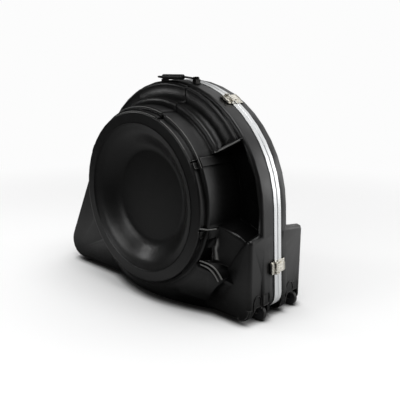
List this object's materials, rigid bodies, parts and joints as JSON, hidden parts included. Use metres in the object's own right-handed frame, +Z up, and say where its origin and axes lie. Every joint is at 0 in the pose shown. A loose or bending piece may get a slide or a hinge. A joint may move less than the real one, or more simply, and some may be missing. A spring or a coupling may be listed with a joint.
{
  "type": "sousaphone case",
  "caption": "Moulded hard case for a sousaphone: arched body with a round bell drum, aluminium valance, draw latches, folding handle and wheels.",
  "frame": {"origin": "middle of the footprint, on the floor that the case stands on", "axes": "+X along the case towards its wheels, +Y from the drum's side to the back, +Z up"},
  "size_m": [1.1949, 0.44, 0.9205],
  "materials": {
    "shell": "black moulded plastic with a fine grain",
    "valance": "bright rolled aluminium",
    "latch": "nickel plated steel",
    "steel": "plain steel",
    "rubber": "black rubber",
    "hub": "black plastic wheel hub",
    "foam": "foam covered with dark plush"
  },
  "bodies": {
    "case": {"front_shell": "shell", "front_valance": "valance", "seal_ring": "rubber", "front_wheel_axle": "steel", "front_toe_pad": "rubber", "front_middle_pad": "rubber", "hinge_1_front_leaf": "steel", "hinge_1_pin": "steel", "hinge_2_front_leaf": "steel", "hinge_2_pin": "steel", "hinge_3_front_leaf": "steel", "hinge_3_pin": "steel", "latch_upper_right_base": "latch", "latch_upper_right_pin": "steel", "latch_lower_right_base": "latch", "latch_lower_right_pin": "steel", "latch_upper_left_base": "latch", "latch_upper_left_pin": "steel", "latch_lower_left_base": "latch", "latch_lower_left_pin": "steel", "handle_bracket_left": "latch", "handle_bracket_right": "latch", "handle_pin_left": "steel", "handle_pin_right": "steel", "bell_ring_pad": "foam", "bell_throat_pad": "foam", "front_cradle_pad": "foam"},
    "lid": {"back_shell": "shell", "back_valance": "valance", "back_wheel_axle": "steel", "back_toe_pad": "rubber", "back_middle_pad": "rubber", "back_cradle_pad": "foam", "hinge_1_back_leaf": "steel", "hinge_2_back_leaf": "steel", "hinge_3_back_leaf": "steel", "latch_upper_right_keeper": "latch", "latch_lower_right_keeper": "latch", "latch_upper_left_keeper": "latch", "latch_lower_left_keeper": "latch"},
    "lever_upper_right": {"latch_upper_right_lever": "latch"},
    "hook_upper_right": {"latch_upper_right_hook": "latch"},
    "lever_lower_right": {"latch_lower_right_lever": "latch"},
    "hook_lower_right": {"latch_lower_right_hook": "latch"},
    "lever_upper_left": {"latch_upper_left_lever": "latch"},
    "hook_upper_left": {"latch_upper_left_hook": "latch"},
    "lever_lower_left": {"latch_lower_left_lever": "latch"},
    "hook_lower_left": {"latch_lower_left_hook": "latch"},
    "handle": {"handle_bail": "steel", "handle_grip": "rubber"},
    "front_wheel": {"front_wheel_tyre": "rubber", "front_wheel_hub": "hub"},
    "back_wheel": {"back_wheel_tyre": "rubber", "back_wheel_hub": "hub"}
  },
  "joints": [
    {"name": "lid_swing", "type": "hinge", "parent": "case", "child": "lid", "pos_m": [0, 0.049, 0.0304], "axis": [-1, 0, 0], "range_deg": [0, 100]},
    {"name": "lever_upper_right_swing", "type": "hinge", "parent": "case", "child": "lever_upper_right", "pos_m": [0.34493, 0.034, 0.83248], "axis": [-0.848, 0, 0.5299], "range_deg": [0, 100]},
    {"name": "hook_upper_right_swing", "type": "hinge", "parent": "lever_upper_right", "child": "hook_upper_right", "pos_m": [0.34706, 0.027, 0.83587], "axis": [-0.848, 0, 0.5299], "range_deg": [-130, 0]},
    {"name": "lever_lower_right_swing", "type": "hinge", "parent": "case", "child": "lever_lower_right", "pos_m": [0.58903, 0.034, 0.2102], "axis": [-0.0491, 0, 0.9988], "range_deg": [0, 100]},
    {"name": "hook_lower_right_swing", "type": "hinge", "parent": "lever_lower_right", "child": "hook_lower_right", "pos_m": [0.59303, 0.027, 0.2104], "axis": [-0.0491, 0, 0.9988], "range_deg": [-130, 0]},
    {"name": "lever_upper_left_swing", "type": "hinge", "parent": "case", "child": "lever_upper_left", "pos_m": [-0.1818, 0.034, 0.83248], "axis": [-0.848, 0, -0.5299], "range_deg": [0, 100]},
    {"name": "hook_upper_left_swing", "type": "hinge", "parent": "lever_upper_left", "child": "hook_upper_left", "pos_m": [-0.18392, 0.027, 0.83587], "axis": [-0.848, 0, -0.5299], "range_deg": [-130, 0]},
    {"name": "lever_lower_left_swing", "type": "hinge", "parent": "case", "child": "lever_lower_left", "pos_m": [-0.52757, 0.034, 0.28213], "axis": [-0.4241, 0, -0.9056], "range_deg": [0, 100]},
    {"name": "hook_lower_left_swing", "type": "hinge", "parent": "lever_lower_left", "child": "hook_lower_left", "pos_m": [-0.53119, 0.027, 0.28382], "axis": [-0.4241, 0, -0.9056], "range_deg": [-130, 0]},
    {"name": "handle_swing", "type": "hinge", "parent": "case", "child": "handle", "pos_m": [0.10157, 0.003, 0.904], "axis": [-1, 0, 0], "range_deg": [0, 100]},
    {"name": "front_wheel_spin", "type": "hinge", "parent": "case", "child": "front_wheel", "pos_m": [0.54756, -0.018, 0.032], "axis": [0, 1, 0], "continuous": true},
    {"name": "back_wheel_spin", "type": "hinge", "parent": "lid", "child": "back_wheel", "pos_m": [0.54756, 0.184, 0.032], "axis": [0, 1, 0], "continuous": true}
  ],
  "couplings": [
    {"joint": "hook_upper_right_swing", "follows": "lever_upper_right_swing", "ratio": -1.3},
    {"joint": "hook_lower_right_swing", "follows": "lever_lower_right_swing", "ratio": -1.3},
    {"joint": "hook_upper_left_swing", "follows": "lever_upper_left_swing", "ratio": -1.3},
    {"joint": "hook_lower_left_swing", "follows": "lever_lower_left_swing", "ratio": -1.3}
  ]
}
